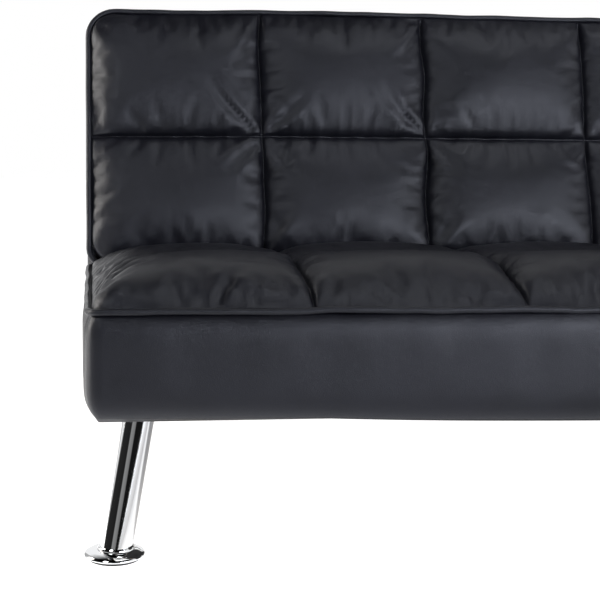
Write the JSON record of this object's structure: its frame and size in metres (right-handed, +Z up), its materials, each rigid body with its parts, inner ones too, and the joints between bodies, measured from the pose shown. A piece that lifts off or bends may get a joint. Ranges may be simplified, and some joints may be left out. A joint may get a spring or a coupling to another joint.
{
  "type": "futon sofa bed",
  "caption": "Armless click-clack futon sofa with a tufted seat and a tufted back that lowers flat into a bed, on splayed chrome tube legs.",
  "frame": {"origin": "centre of the whole sofa's footprint, on the floor", "axes": "+X along the width, to the right as seen from in front; +Y from the front to the back; +Z up"},
  "size_m": [1.819, 0.954, 0.7934],
  "materials": {
    "faux_leather": "satin",
    "cushion_leather": "satin",
    "foam": "matte",
    "timber": "matte",
    "chrome": "polished",
    "zinc_steel": "satin",
    "black_steel": "satin",
    "dust_cloth": "matte",
    "webbing": "matte",
    "black_rubber": "matte"
  },
  "bodies": {
    "seat": {"back_rest_pad_left": "black_rubber", "back_rest_pad_right": "black_rubber", "base_arm_left": "black_steel", "base_arm_right": "black_steel", "base_cross_tube": "black_steel", "centre_leg": "black_steel", "corner_block_left": "timber", "corner_block_right": "timber", "foot_disc_front_left": "chrome", "foot_disc_front_right": "chrome", "foot_disc_rear_left": "chrome", "foot_disc_rear_right": "chrome", "foot_pad_front_left": "black_rubber", "foot_pad_front_right": "black_rubber", "foot_pad_rear_left": "black_rubber", "foot_pad_rear_right": "black_rubber", "hinge_bracket_left": "zinc_steel", "hinge_bracket_right": "zinc_steel", "leg_front_left": "chrome", "leg_front_right": "chrome", "leg_rear_left": "chrome", "leg_rear_right": "chrome", "pivot_bolt_left": "zinc_steel", "pivot_bolt_right": "zinc_steel", "seat_cross_rail_centre": "timber", "seat_cross_rail_left": "timber", "seat_cross_rail_right": "timber", "seat_cushion": "cushion_leather", "seat_dust_cloth": "dust_cloth", "seat_foam": "foam", "seat_front_panel": "faux_leather", "seat_front_rail": "timber", "seat_left_panel": "faux_leather", "seat_left_rail": "timber", "seat_piping": "faux_leather", "seat_rear_panel": "faux_leather", "seat_rear_rail": "timber", "seat_right_panel": "faux_leather", "seat_right_rail": "timber", "seat_spring_deck": "zinc_steel"},
    "back": {"back_bottom_panel": "faux_leather", "back_bottom_rail": "timber", "back_centre_rail": "timber", "back_cushion": "cushion_leather", "back_foam": "foam", "back_left_panel": "faux_leather", "back_left_rail": "timber", "back_piping": "faux_leather", "back_rear_panel": "faux_leather", "back_right_panel": "faux_leather", "back_right_rail": "timber", "back_top_panel": "faux_leather", "back_top_rail": "timber", "back_webbing": "webbing", "hinge_arm_left": "zinc_steel", "hinge_arm_right": "zinc_steel", "ratchet_left": "zinc_steel", "ratchet_right": "zinc_steel"},
    "pawl_left": {"pawl_left": "zinc_steel"},
    "pawl_right": {"pawl_right": "zinc_steel"}
  },
  "joints": [
    {"name": "back_recline", "type": "hinge", "parent": "seat", "child": "back", "pos_m": [0, 0.0845, 0.322], "axis": [-1, 0, 0], "range_deg": [-6, 73]},
    {"name": "pawl_left_turn", "type": "hinge", "parent": "seat", "child": "pawl_left", "pos_m": [-0.8775, 0.03069, 0.31232], "axis": [1, 0, 0], "range_deg": [0, 10]},
    {"name": "pawl_right_turn", "type": "hinge", "parent": "seat", "child": "pawl_right", "pos_m": [0.8775, 0.03069, 0.31232], "axis": [1, 0, 0], "range_deg": [0, 10]}
  ],
  "couplings": [
    {"joint": "pawl_right_turn", "follows": "pawl_left_turn", "ratio": 1}
  ]
}
